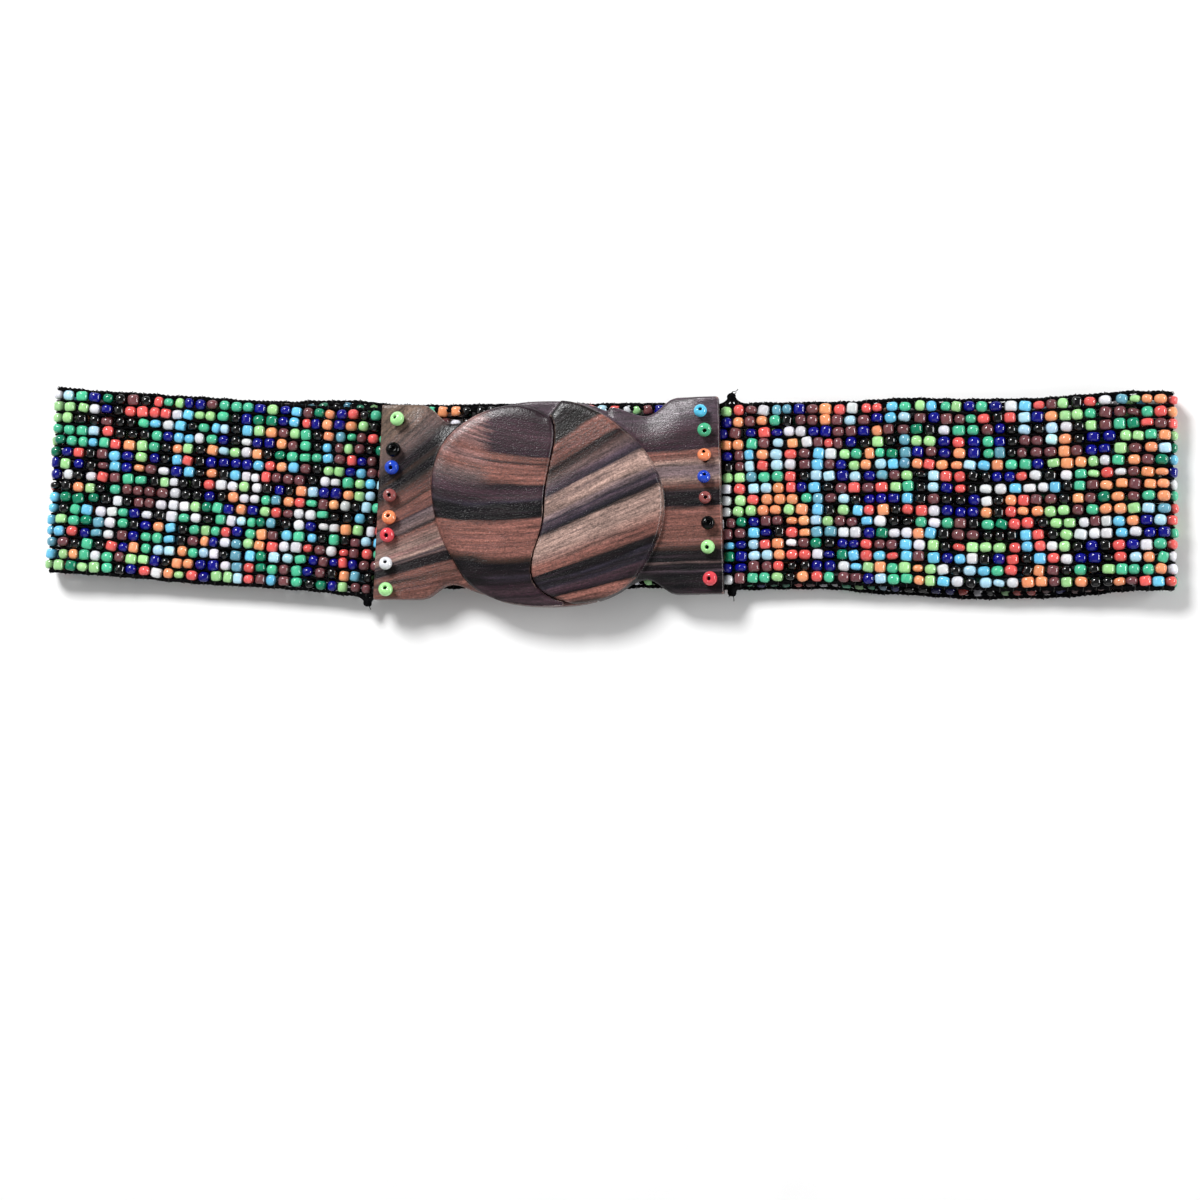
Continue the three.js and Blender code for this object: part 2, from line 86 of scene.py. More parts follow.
def meshArrays(obj):
    coords = np.array([v.co for v in obj.data.vertices])
    return coords, [list(p.vertices) for p in obj.data.polygons]


def makePiece(name, coords, faces, material):
    mesh = bpy.data.meshes.new(name)
    mesh.from_pydata(np.asarray(coords).tolist(), [], faces)
    mesh.shade_smooth()
    mesh.materials.append(material)
    piece = bpy.data.objects.new(name, mesh)
    bpy.context.scene.collection.objects.link(piece)
    return piece


def newMaterial(name):
    material = bpy.data.materials.new(name)
    material.use_nodes = True
    return material, material.node_tree, material.node_tree.nodes["Principled BSDF"]


def addNode(tree, kind, links=None, **settings):
    node = tree.nodes.new(kind)
    for key, value in settings.items():
        setattr(node, key, value)
    for key, value in (links or {}).items():
        if isinstance(value, bpy.types.NodeSocket):
            tree.links.new(value, node.inputs[key])
        else:
            node.inputs[key].default_value = value
    return node


def addMath(tree, operation, *values):
    return addNode(tree, "ShaderNodeMath", dict(enumerate(values)), operation=operation).outputs[0]


def addRamp(tree, fac, stops, interpolation="LINEAR"):
    node = addNode(tree, "ShaderNodeValToRGB", {"Fac": fac})
    ramp = node.color_ramp
    ramp.interpolation = interpolation
    while len(ramp.elements) < len(stops):
        ramp.elements.new(0.5)
    for element, (position, colour) in zip(ramp.elements, stops):
        element.position = position
        element.color = (*colour, 1) if len(colour) == 3 else colour
    return node.outputs["Color"]


def addBump(tree, shader, height, strength, distance):
    bump = addNode(tree, "ShaderNodeBump", {"Height": height, "Strength": strength, "Distance": distance})
    tree.links.new(bump.outputs["Normal"], shader.inputs["Normal"])


# ---- the band's route, in mm from the middle of the loop, the same as its CAD solid's

route = {
    "halfLength": 183.0, "width": 61.5, "foldX": 178.35, "foldDepth": 2.7, "foldRun": 42.0,
    "backHeight": 1.95, "frontFlat": 6.35, "frontLift": 2.2, "turnShare": 0.5, "foldRise": 3.3,
    "ends": (-64.5, 34.1), "step": 0.5, "shift": (0.3945, -1.182), "drift": 0.2, "driftStep": 15,
    "frontLeft": [(-.975, .122, 1.005), (-.865, .098, 1), (-.72, .057, 1.01), (-.53, .012, .998),
                  (-.4, -.018, 1.014), (-.33, -.03, 1.014)],
    "back": [(-.975, .122, 1.005), (-.865, .098, 1), (-.72, .062, 1), (-.57, .036, 1.005),
             (-.45, .043, 1), (-.36, .021, .99), (-.1, .013, .985), (.07, .003, .985),
             (.27, -.01, .985), (.45, -.022, .99), (.58, -.05, .995), (.67, -.063, 1),
             (.8, -.054, 1.005), (.89, -.031, 1.015), (.975, -.021, 1.02)],
    "frontRight": [(.18, -.008, .965), (.41, -.009, .957), (.53, -.011, .985), (.67, -.025, .996),
                   (.8, -.0245, 1.005), (.885, -.017, 1.018), (.975, -.021, 1.02)],
}


def readRows(rows, column, at):
    last = len(rows) - 1
    place = min(max(at, rows[0][0]), rows[last][0])
    i = 0
    while i < last - 1 and place > rows[i + 1][0]:
        i += 1
    low, high = rows[i], rows[i + 1]
    before, after = rows[max(i - 1, 0)], rows[min(i + 2, last)]
    span = high[0] - low[0]
    slopeLow = (high[column] - before[column]) / (high[0] - before[0])
    slopeHigh = (after[column] - low[column]) / (after[0] - low[0])
    t = (place - low[0]) / span
    u = 1 - t
    return ((1 + 2 * t) * u * u * low[column] + t * u * u * span * slopeLow
            + t * t * (3 - 2 * t) * high[column] - t * t * u * span * slopeHigh)


def bandSection(rows, x, height, outward):
    along = x / route["halfLength"]
    low, high = rows[0][0], rows[-1][0]
    a, b = min(max(along - 0.01, low), high), min(max(along + 0.01, low), high)
    climb = (readRows(rows, 1, b) - readRows(rows, 1, a)) * route["width"]
    turn = route["turnShare"] * math.atan2(climb, (b - a) * route["halfLength"])
    centre = np.array([x, readRows(rows, 1, along) * route["width"], height])
    across = np.array([-math.sin(turn), math.cos(turn), 0.0])
    return centre, across, np.array([0.0, 0.0, outward]), readRows(rows, 2, along) * route["width"]


def frontHeight(x):
    t = min(max((abs(x) - route["foldX"] + route["foldRun"]) / route["foldRun"], 0), 1)
    return route["frontFlat"] + route["frontLift"] * t * t * (3 - 2 * t)


def foldSections(rows, side):
    sections = []
    for i in range(1, 24):
        turn = math.pi * i / 24
        height = route["backHeight"] + route["foldRise"] * (1 + math.cos(turn))
        centre, across, _, width = bandSection(rows, side * route["foldX"], height, 1)
        away = side * np.array([across[1], -across[0], 0.0])
        outward = away * math.sin(turn) / route["foldDepth"]
        outward[2] = math.cos(turn) / route["foldRise"]
        centre = centre + away * route["foldDepth"] * math.sin(turn)
        sections.append((centre, across, outward / np.linalg.norm(outward), width))
    return sections


def layer(rows, start, end, heightAt, outward):
    count = int(abs(end - start) / route["step"])
    return [bandSection(rows, x, heightAt(x), outward) for x in np.linspace(start, end, count)]


foldX = route["foldX"]
runs = [
    layer(route["frontLeft"], route["ends"][0], -foldX, frontHeight, 1),
    foldSections(route["frontLeft"], -1),
    layer(route["back"], -foldX, foldX, lambda x: route["backHeight"], -1),
    foldSections(route["frontRight"], 1)[::-1],
    layer(route["frontRight"], foldX, route["ends"][1], frontHeight, 1),
]
sections = [section for run in runs for section in run]
routeTable = np.array([np.hstack(section) for section in sections])
routeReach = np.hstack([0, np.cumsum(np.linalg.norm(np.diff(routeTable[:, :3], axis=0), axis=1))])
bandLength = routeReach[-1]
runEnds = routeReach[np.cumsum([len(run) for run in runs]) - 1]  # where each run ends


# the rows don't run quite straight: the band drifts a little to either side along its way
driftReach = np.arange(0, bandLength + route["driftStep"], route["driftStep"])
drift = np.random.default_rng(5).normal(0, route["drift"], len(driftReach))


def bandFrames(reach):  # the band's middle, its two directions and its width at a reach from its end
    values = np.stack([np.interp(reach, routeReach, routeTable[:, i]) for i in range(10)], -1)
    across = values[..., 3:6] / np.linalg.norm(values[..., 3:6], axis=-1, keepdims=True)
    outward = values[..., 6:9] / np.linalg.norm(values[..., 6:9], axis=-1, keepdims=True)
    middle = values[..., :3] + across * np.interp(reach, driftReach, drift)[..., None]
    return middle, across, outward, values[..., 9]


def onBand(reach, side, height):  # metres, from a place along, across and out of the band
    centre, across, outward, _ = bandFrames(reach)
    place = centre + across * side[..., None] + outward * height[..., None]
    return (place + np.array([*route["shift"], 0.0])) * mm


print("route:", round(bandLength), "mm of band")


# ---- glass and cord finishes

def glassMaterial(name, colour=None, shine=1.0):
    material, tree, shader = newMaterial(name)
    if colour is None:
        # each bead's colour, with its painted shade baked in
        base = addNode(tree, "ShaderNodeAttribute", attribute_name="beadColourAndShade").outputs["Color"]
    else:
        base = addNode(tree, "ShaderNodeRGB").outputs[0]
        base.default_value = (*colour, 1)
    place = addNode(tree, "ShaderNodeTexCoord").outputs["Object"]
    clouds = addNode(tree, "ShaderNodeTexNoise", {"Vector": place, "Scale": 900, "Detail": 2}).outputs["Fac"]
    tone = addNode(tree, "ShaderNodeMapRange", {"Value": clouds, "From Min": 0.3, "From Max": 0.7,
                                                "To Min": 0.9, "To Max": 1.08}).outputs[0]
    mixed = addNode(tree, "ShaderNodeHueSaturation", {"Value": tone, "Color": base}).outputs["Color"]
    tree.links.new(mixed, shader.inputs["Base Color"])
    rough = addNode(tree, "ShaderNodeMapRange", {"Value": clouds, "To Min": 0.03, "To Max": 0.12}).outputs[0]
    tree.links.new(rough, shader.inputs["Roughness"])
    shader.inputs["IOR"].default_value = 1.5
    shader.inputs["Specular IOR Level"].default_value = 0.5 * shine
    shader.inputs["Coat Weight"].default_value = 0.3 * shine
    shader.inputs["Coat Roughness"].default_value = 0.05
    pits = addNode(tree, "ShaderNodeTexNoise", {"Vector": place, "Scale": 2600, "Detail": 1}).outputs["Fac"]
    addBump(tree, shader, pits, 0.02, 0.0001)
    return material


def fibreMaterial(name, dark, light, shine):
    material, tree, shader = newMaterial(name)
    place = addNode(tree, "ShaderNodeTexCoord").outputs["Object"]
    fine = addNode(tree, "ShaderNodeTexNoise", {"Vector": place, "Scale": 5200, "Detail": 3}).outputs["Fac"]
    tone = addRamp(tree, fine, [(0.35, dark), (0.72, light)])
    tree.links.new(tone, shader.inputs["Base Color"])
    shader.inputs["Roughness"].default_value = 0.85
    shader.inputs["Sheen Weight"].default_value = shine
    shader.inputs["Specular IOR Level"].default_value = 0.06
    addBump(tree, shader, fine, 0.6, 0.00015)
    return material


beadGlass = glassMaterial("seed bead glass")
blackCord = fibreMaterial("black waxed cord", (0.0005, 0.0005, 0.0007), (0.004, 0.004, 0.005), 0.0)
paleThread = fibreMaterial("smoky nylon", (0.01, 0.01, 0.01), (0.09, 0.088, 0.085), 0.0)


# ---- seed beads: one is modelled, and the rest are copies of it

seedBead = {"across": 3.84, "long": 3.06, "round": 1.28, "profile": 0.5, "segments": 3, "sides": 10}
squareBead = {**seedBead, "round": 1.02, "profile": 0.6}
stopper = {"across": 4.6, "long": 3.3, "round": 1.58, "profile": 0.5, "segments": 6, "sides": 28}


def modelBead(bead):  # a short rod with its ends rounded over and a hole through it
    bpy.ops.object.select_all(action="DESELECT")
    bpy.ops.mesh.primitive_cylinder_add(vertices=bead["sides"], radius=bead["across"] / 2, depth=bead["long"])
    rod = bpy.context.object
    bpy.ops.object.mode_set(mode="EDIT")
    selectFaces(rod, lambda face: abs(face.normal.z) > 0.9)
    bpy.ops.mesh.region_to_loop()
    bpy.ops.mesh.bevel(offset=bead["round"], segments=bead["segments"], profile=bead["profile"], affect="EDGES")
    selectFaces(rod, lambda face: abs(face.normal.z) > 0.99 and len(face.verts) > 4)
    bpy.ops.mesh.delete(type="FACE")
    selectBoundary(rod)
    bpy.ops.mesh.bridge_edge_loops()
    bpy.ops.mesh.select_all(action="SELECT")
    bpy.ops.mesh.normals_make_consistent(inside=False)
    bpy.ops.object.mode_set(mode="OBJECT")
    coords, faces = meshArrays(rod)
    bpy.data.objects.remove(rod)
    return coords, faces


beadShapes, beadFaces = zip(*[modelBead(bead) for bead in (seedBead, squareBead)])
beadShapes = np.array(beadShapes)[:, :, [0, 2, 1]] * [1, 1, -1]  # the hole runs across the band
beadFaces = beadFaces[0]
beadCoords = beadShapes[0]
print("seed bead:", len(beadCoords), "points,", len(beadFaces), "faces")

# each glass: its colour, and its share of the beads on the left and on the right
beadMix = {
    "lime": ("A4DC94", 13, 15), "emerald": ("4CBC92", 12, 9), "deepGreen": ("14805F", 4, 3),
    "sky": ("6EC6EC", 8, 7), "paleBlue": ("B2DCF0", 5, 6), "greyBlue": ("64A0B4", 4, 3),
    "navy": ("090B7E", 15, 12), "coral": ("E65E5A", 11, 14), "orange": ("F49C6E", 8, 11),
    "white": ("DCDCE2", 9, 11), "brown": ("704246", 11, 12), "black": ("020203", 17, 12),
}
weave = {
    "rows": 16, "rowPitch": 0.0605, "pair": (0.07, 0.11), "roomBetween": 0.02,
    "wide": (0.985, 0.05), "long": (3.22, 0.2), "odd": 0.1, "shade": 0.34,
    "squares": 0.35, "innerShade": 0.3, "oddLong": (2.3, 2.6, 3.55),
    "swayAlong": 0.17, "stagger": 0.6, "swayAcross": 0.12, "rise": 0.06, "tiltFlat": 6.0, "tiltOther": 4.0, "turn": 40.0,
    "pitches": [(0, 3.85), (60, 3.9), (113, 4.14), (128, 4.1), (300, 4.0), (480, 4.0), (495, 4.25),
                (560, 4.1), (634, 4.0)],
}


def beadColumns():  # how far along the band each column of beads lies
    at, columns = 2.1, []
    reaches, pitches = zip(*weave["pitches"])
    while at < bandLength - 1.9:
        columns.append(at)
        at += float(np.interp(at, reaches, pitches))
    return np.array(columns)


def wander(rng, reach, step, amount):  # a slow random drift along the band
    places = np.arange(0, bandLength + 2 * step, step)
    return np.interp(reach, places, rng.normal(0, amount, len(places)))


def layBeads():
    rng = np.random.default_rng(41)
    columns = beadColumns()
    rows = weave["rows"]
    shape = (len(columns), rows)
    names = list(beadMix)
    palette = np.array([linear(beadMix[name][0]) for name in names])
    onRight = (columns > (runEnds[1] + runEnds[2]) / 2).astype(int)
    shares = np.array([[beadMix[name][1 + right] for name in names] for right in onRight], float)
    limits = np.cumsum(shares / shares.sum(1, keepdims=True), axis=1)
    picks = (rng.random(shape)[:, :, None] > limits[:, None, :]).sum(-1).clip(0, len(names) - 1)
    for i in range(1, len(columns)):
        same = rng.random(rows) < weave["pair"][0]
        picks[i, same] = picks[i - 1, same]
    for i in range(1, rows):
        same = rng.random(len(columns)) < weave["pair"][1]
        picks[same, i] = picks[same, i - 1]
    row = np.arange(rows)[None, :]
    pitch = np.interp(columns, *zip(*weave["pitches"]))[:, None] * np.ones(shape)
    # the columns bow and wander together a little, and each bead sits its own way
    bow = 0.5 * np.sin(row / rows * math.pi * 1.4 + columns[:, None] / 60)
    stagger = np.stack([wander(rng, columns, 14, weave["stagger"]) for _ in range(rows)], 1)
    reach = columns[:, None] + bow + stagger + rng.normal(0, weave["swayAlong"], shape)
    reach = np.clip(reach, 1.95, bandLength - 1.95)
    room = np.pad(np.diff(reach, axis=0), ((1, 1), (0, 0)), constant_values=9)
    room = np.minimum(room[1:], room[:-1])
    wide = np.minimum(pitch * rng.normal(*weave["wide"], shape), room - weave["roomBetween"])
    wide = wide.clip(3.1, 4.3)
    tall = np.minimum(wide, seedBead["across"]) * rng.uniform(0.97, 1.0, shape)
    long = rng.normal(*weave["long"], shape).clip(2.6, 3.45)
    odd = rng.random(shape) < weave["odd"]
    long[odd] = rng.choice(weave["oddLong"], odd.sum())
    side = (row - (rows - 1) / 2) * weave["rowPitch"] * bandFrames(reach)[3]
    side = side + rng.normal(0, weave["swayAcross"], shape)
    height = rng.normal(0, weave["rise"], shape).clip(-0.1, 0.1)
    tilts = rng.normal(0, 1, (3, *shape)) * np.array(
        [weave["tiltFlat"], weave["tiltOther"], weave["turn"]])[:, None, None]
    tint = rng.normal(1, 0.08, (*shape, 1)) + rng.normal(0, 0.02, (*shape, 3))
    colours = (palette[picks] * tint).clip(0.0005, 0.95).reshape(-1, 3)

    reach, side, height = reach.ravel(), side.ravel(), height.ravel()
    centre, across, outward, _ = bandFrames(reach)
    frames = np.stack([np.cross(across, outward), across, outward], -1)
    turns = np.stack([np.array(Matrix.Rotation(a, 3, "Z") @ Matrix.Rotation(b, 3, "X"))
                      for a, b in np.radians(tilts[:2]).reshape(2, -1).T])
    spins = np.stack([np.array(Matrix.Rotation(a, 3, "Y")) for a in np.radians(tilts[2]).ravel()])
    scales = np.stack([wide / seedBead["across"], long / seedBead["long"], tall / seedBead["across"]], -1)
    squares = (rng.random(shape) < weave["squares"]).astype(int).ravel()
    spun = np.einsum("bij,bvj->bvi", spins, beadShapes[squares]) * scales.reshape(-1, 1, 3)
    outer = np.clip(np.abs(spun[:, :, 2]) / seedBead["across"] * 2 / 0.56, 0, 1)  # painted shade: darker round each bead's middle height, where it meets its neighbours
    shade = weave["shade"] + (1 - weave["shade"]) * outer * outer * (3 - 2 * outer)
    opened = (np.abs(centre[:, 0] - sum(route["ends"]) / 2) < np.ptp(route["ends"]) / 2) & (centre[:, 2] < 3)
    inner = (spun[:, :, 2] < 0) & ~opened[:, None]  # painted shade on the inner sides, which the two layers hide from each other; open back beads stay bright
    shade = np.where(inner, shade * weave["innerShade"], shade)
    placed = np.einsum("bij,bvj->bvi", frames @ turns, spun)
    centres = centre + across * side[:, None] + outward * height[:, None]
    coords = placed + centres[:, None, :] + np.array([*route["shift"], 0])
    sunk = np.minimum(coords[:, :, 2].min(1), 0)  # none goes below the table
    coords[:, :, 2] -= sunk[:, None]
    return reach, coords * mm, colours[:, None, :] * shade[:, :, None]


beadReach, beadPlaces, beadShadedColours = layBeads()
backMiddle = (runEnds[1] + runEnds[2]) / 2
beadRuns = {
    "beads_front_left": (0, runEnds[0] + 2),
    "beads_back_left": (runEnds[0] + 2, backMiddle),
    "beads_back_right": (backMiddle, runEnds[3] - 2),
    "beads_front_right": (runEnds[3] - 2, bandLength + 1),
}
pieces = []
for name, (start, end) in beadRuns.items():
    kept = (beadReach >= start) & (beadReach < end)
    coords = beadPlaces[kept].reshape(-1, 3)
    steps = np.arange(kept.sum()) * len(beadCoords)
    faces = [[corner + step for corner in face] for step in steps.tolist() for face in beadFaces]
    piece = makePiece(name, coords, faces, beadGlass)
    attribute = piece.data.color_attributes.new("beadColourAndShade", "FLOAT_COLOR", "POINT")
    shades = np.ones((kept.sum() * len(beadCoords), 4))
    shades[:, :3] = beadShadedColours[kept].reshape(-1, 3)
    attribute.data.foreach_set("color", shades.ravel())
    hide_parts("bead_band")
    pieces.append(piece)
    print(name, kept.sum(), "beads")


# ---- cords: the warp between the rows, the border cords, and the weft loops round them

cords = {
    "strand": 0.34, "rise": 0.52, "lead": 0.2, "twist": 8.0, "sides": 5, "step": 1.3,
    "borderStrand": 0.38, "borderTwist": 3.1, "borderStep": 0.5, "borderOut": -0.02,
    "loopThread": 0.09, "loopSides": 4,
}


def tube(side, height, reach, radius, sides):
    """placeholder"""
    turns = np.linspace(0, 2 * math.pi, sides, endpoint=False)
    across = side[:, None] + radius * np.cos(turns)
    up = height[:, None] + radius * np.sin(turns)
    return onBand(np.repeat(reach[:, None], sides, 1), across, up).reshape(-1, 3)


def tubeFaces(rings, sides, first=0):
    faces = []
    for ring in range(rings - 1):
        for i in range(sides):
            a, b = ring * sides + i, ring * sides + (i + 1) % sides
            faces.append([first + a, first + b, first + b + sides, first + a + sides])
    last = (rings - 1) * sides
    faces.append([first + i for i in range(sides)][::-1])
    faces.append([first + last + i for i in range(sides)])
    return faces


def joinTubes(name, tubes, sides, material):
    coords, faces, first = [], [], 0
    for points in tubes:
        faces += tubeFaces(len(points) // sides, sides, first)
        coords.append(points)
        first += len(points)
    piece = makePiece(name, np.vstack(coords), faces, material)
    selectOnly(piece)
    bpy.ops.object.mode_set(mode="EDIT")
    bpy.ops.mesh.select_all(action="SELECT")
    bpy.ops.mesh.normals_make_consistent(inside=False)
    bpy.ops.object.mode_set(mode="OBJECT")
    pieces.append(piece)
    return piece


rng = np.random.default_rng(7)
for name, (start, end) in {"front_left": (0.4, runEnds[0] + 2), "back": (runEnds[0] + 2, runEnds[3] - 2),
                           "front_right": (runEnds[3] - 2, bandLength - 0.4)}.items():
    reach = np.arange(start, end, cords["step"])
    reach[-1] = end
    width = bandFrames(reach)[3]
    tubes = []
    for row in range(weave["rows"] + 1):
        middle = (row - weave["rows"] / 2) * weave["rowPitch"] * width
        middle = middle + 0.1 * np.sin(reach / 7.3 + row * 2.1) + 0.08 * np.sin(reach / 3.1 + row)
        for turn in (0, math.pi):
            phase = reach / cords["twist"] * 2 * math.pi + turn + row
            tubes.append(tube(middle + cords["lead"] * np.sin(phase), cords["rise"] * np.cos(phase), reach,
                              cords["strand"], cords["sides"]))
    for row in (0.32, weave["rows"] - 0.32):  # a thick cord under each edge row, seen between its beads
        middle = (row - weave["rows"] / 2) * weave["rowPitch"] * width
        for turn in (0, math.pi):
            phase = reach / cords["twist"] * 2 * math.pi + turn
            tubes.append(tube(middle + 0.55 * np.sin(phase), 0.25 * np.cos(phase) - 0.6, reach, 0.62,
                              cords["sides"]))
    piece = joinTubes("warp_cords_" + name, tubes, cords["sides"], blackCord)
    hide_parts("bead_band")

borderReach = np.arange(0.3, bandLength, cords["borderStep"])
scallop = {}
for edge in (-1, 1):
    knots = np.arange(0, bandLength + 12, 6.5)
    out = np.interp(borderReach, knots + rng.normal(0, 1.6, len(knots)), rng.uniform(-0.12, 0.42, len(knots)))
    smooth = np.convolve(np.pad(out, 4, mode="edge"), np.ones(9) / 9, mode="valid")
    scallop[edge] = smooth + 0.12 * np.sin(borderReach / 1.3)
    width = bandFrames(borderReach)[3]
    middle = edge * (width * weave["rowPitch"] * weave["rows"] / 2 + cords["borderOut"] + scallop[edge])
    tubes = []
    for turn in (0, math.pi):
        phase = borderReach / cords["borderTwist"] * 2 * math.pi + turn
        tubes.append(tube(middle + 0.24 * np.sin(phase), 0.24 * np.cos(phase), borderReach,
                          cords["borderStrand"], 6))
    piece = joinTubes("border_cord_" + ("lower" if edge < 0 else "upper"), tubes, 6, blackCord)
    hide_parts("bead_band")

loopPath = np.array([(-1.7, 0.1), (-0.8, 0.7), (0.0, 0.8), (0.6, 0.55), (0.8, 0.0), (0.6, -0.55),
                     (0.0, -0.8), (-0.8, -0.7), (-1.7, -0.1)])
tubes = []
for edge in (-1, 1):
    for column in beadColumns():
        reach = np.full(len(loopPath), column) + np.linspace(-0.25, 0.25, len(loopPath)) + rng.normal(0, 0.2)
        reach = reach.clip(0.3, bandLength - 0.3)
        width = bandFrames(reach)[3]
        lift = np.interp(column, borderReach, scallop[edge])
        middle = width * weave["rowPitch"] * weave["rows"] / 2 + cords["borderOut"] + lift
        ring = []
        for i, turn in enumerate(np.linspace(0, 2 * math.pi, cords["loopSides"], endpoint=False)):
            ring.append(onBand(reach + cords["loopThread"] * math.cos(turn),
                               edge * (middle + loopPath[:, 0] + cords["loopThread"] * math.sin(turn) * 0.7),
                               loopPath[:, 1] + cords["loopThread"] * math.sin(turn) * 0.7))
        tubes.append(np.stack(ring, 1).reshape(-1, 3))
piece = joinTubes("weft_loops", tubes, cords["loopSides"], paleThread)
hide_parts("bead_band")
print("cords laid")


# ---- the wooden clasp

clasp = {
    "centre": (-14.8055, -4.282), "discReach": 33.0, "plateTop": 12.3, "discTop": 16.0, "plateUnder": 6.4,
    "voxel": 0.43, "waistFrom": -52.0, "waistTo": -18.0, "dome": 0.5, "rimDrop": {"left": 0.8, "right": 0.5}, "rimReach": {"left": 4.0, "right": 2.6},
    "upperDrop": {"left": 1.5, "right": 2.1}, "upperReach": {"left": 8.0, "right": 11.0},
    "lowerDrop": 0.9, "lowerReach": 2.8,
}


def smoothstep(low, high, value):
    t = np.clip((value - low) / (high - low), 0, 1)
    return t * t * (3 - 2 * t)


def carveHalf(side, material):
    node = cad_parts["clasp_half_" + side]
    piece = bpy.data.objects.new("carved_half_" + side, node.data.copy())
    bpy.context.scene.collection.objects.link(piece)
    selectOnly(piece)
    bpy.ops.object.mode_set(mode="EDIT")
    bpy.ops.mesh.select_all(action="SELECT")
    bpy.ops.mesh.remove_doubles(threshold=1e-6)
    bpy.ops.object.mode_set(mode="OBJECT")
    applyModifier(piece, "REMESH", mode="VOXEL", voxel_size=clasp["voxel"] * mm)
    applyModifier(piece, "SMOOTH", factor=0.5, iterations=1)
    piece.data.shade_smooth()
    sculptHalf(piece, side)
    piece.data.materials.clear()
    piece.data.materials.append(material)
    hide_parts("clasp_half_" + side)
    pieces.append(piece)
    return piece


def sculptHalf(piece, side):  # rounds the waists over, domes the face and leaves faint tool marks
    mesh = piece.data
    count = len(mesh.vertices)
    coords = np.zeros(count * 3)
    normals = np.zeros(count * 3)
    mesh.vertices.foreach_get("co", coords)
    mesh.vertex_normals.foreach_get("vector", normals)
    coords, normals = coords.reshape(-1, 3) / mm, normals.reshape(-1, 3)
    turned = -1 if side == "right" else 1
    x = (coords[:, 0] - clasp["centre"][0]) * turned
    y = (coords[:, 1] - clasp["centre"][1]) * turned
    z = coords[:, 2]
    plateTop, radius = clasp["plateTop"], np.hypot(x, y) / clasp["discReach"]
    upright = np.abs(normals[:, 2]) < 0.3
    wall = upright & (z > clasp["plateUnder"] + 1.5) & (z < plateTop - 1) & (radius > 0.6)
    wall &= (x < clasp["waistTo"] + 6) & (x > clasp["waistFrom"] + 6) & (np.abs(y) > 15)
    plate = (z > clasp["plateUnder"]) & (z < plateTop + 0.3) & (radius > 0.85) & (x < -8)
    share = np.clip((z - clasp["plateUnder"]) / (plateTop - clasp["plateUnder"]), 0, 1)
    photoUp = y * turned > 0
    drop = np.where(photoUp, clasp["upperDrop"][side], clasp["lowerDrop"])
    reach = np.where(photoUp, clasp["upperReach"][side], clasp["lowerReach"])
    middle = smoothstep(clasp["waistFrom"], clasp["waistFrom"] + 12, x) * (1 - smoothstep(-18, -9, x))
    z = z - drop * share * middle * np.clip(1 - nearestGap(x, y, plate, wall) / reach, 0, 1) ** 1.8
    # the raised face: a low dome, rounded over along its outer rim
    face = smoothstep(plateTop + 1.5, plateTop + 2.4, coords[:, 2]) * (normals[:, 2] > 0)
    rim = upright & (coords[:, 2] > plateTop + 0.8) & (coords[:, 2] < plateTop + 3) & (radius > 0.86)
    edgeGap = nearestGap(x, y, (face > 0) & (radius > 0.75), rim)
    z = z - clasp["dome"] * face * smoothstep(0.55, 1.15, radius)
    z = z - clasp["rimDrop"][side] * face * np.clip(1 - edgeGap / clasp["rimReach"][side], 0, 1) ** 2
    marks = 0.05 * np.sin(x * 0.31 + y * 0.17) + 0.04 * np.sin(y * 0.43 - x * 0.11 + 2)
    z = z + marks * (normals[:, 2] > 0.3) * (coords[:, 2] > clasp["plateTop"] - 2)
    coords[:, 2] = z
    mesh.vertices.foreach_set("co", (coords * mm).ravel())
    mesh.update()
    markEdges(mesh, coords)


def nearestGap(x, y, some, edges):  # in plan, from some of the points to the nearest of the edges' points
    tree = kdtree.KDTree(int(edges.sum()))
    for i, place in enumerate(zip(x[edges], y[edges])):
        tree.insert((*place, 0), i)
    tree.balance()
    gap = np.full(len(x), 99.0)
    gap[some] = [tree.find((*place, 0))[2] for place in zip(x[some], y[some])]
    return gap


def markEdges(mesh, coords):  # how sharply the surface turns outwards, for the lighter line along the edges: partly real wear, partly painted highlight
    count = len(coords)
    ends = np.zeros(len(mesh.edges) * 2, int)
    mesh.edges.foreach_get("vertices", ends)
    ends = np.hstack([ends.reshape(-1, 2).T, ends.reshape(-1, 2).T[::-1]])
    normals = np.zeros(count * 3)
    mesh.vertex_normals.foreach_get("vector", normals)
    normals = normals.reshape(-1, 3)
    step = coords[ends[1]] - coords[ends[0]]
    fall = -(step * normals[ends[0]]).sum(1) / np.linalg.norm(step, axis=1).clip(1e-6)
    links = np.bincount(ends[0], minlength=count).clip(1)
    turn = np.bincount(ends[0], fall, minlength=count) / links
    turn = 0.5 * turn + 0.5 * np.bincount(ends[0], turn[ends[1]], minlength=count) / links
    wearAndHighlight = mesh.attributes.new("wearAndHighlight", "FLOAT", "POINT")
    wearAndHighlight.data.foreach_set("value", smoothstep(0.1, 0.3, turn))


# display colours of the wood's rings
woods = {
    "orange": "B1766A", "tan": "D9B4A7", "taupe": "A88F92", "pink": "BC8C87", "brown": "A06B60",
    "rust": "97655A", "plum": "3B2732", "purple": "5C434D", "grey": "8E7471", "haze": "6C5A66",
    "bark": "967C6C", "slate": "3A3442", "olive": "221E1B", "umber": "4E382F", "dark": "100E14",
    "ink": "0A080E",
}
woodTone = 0.55

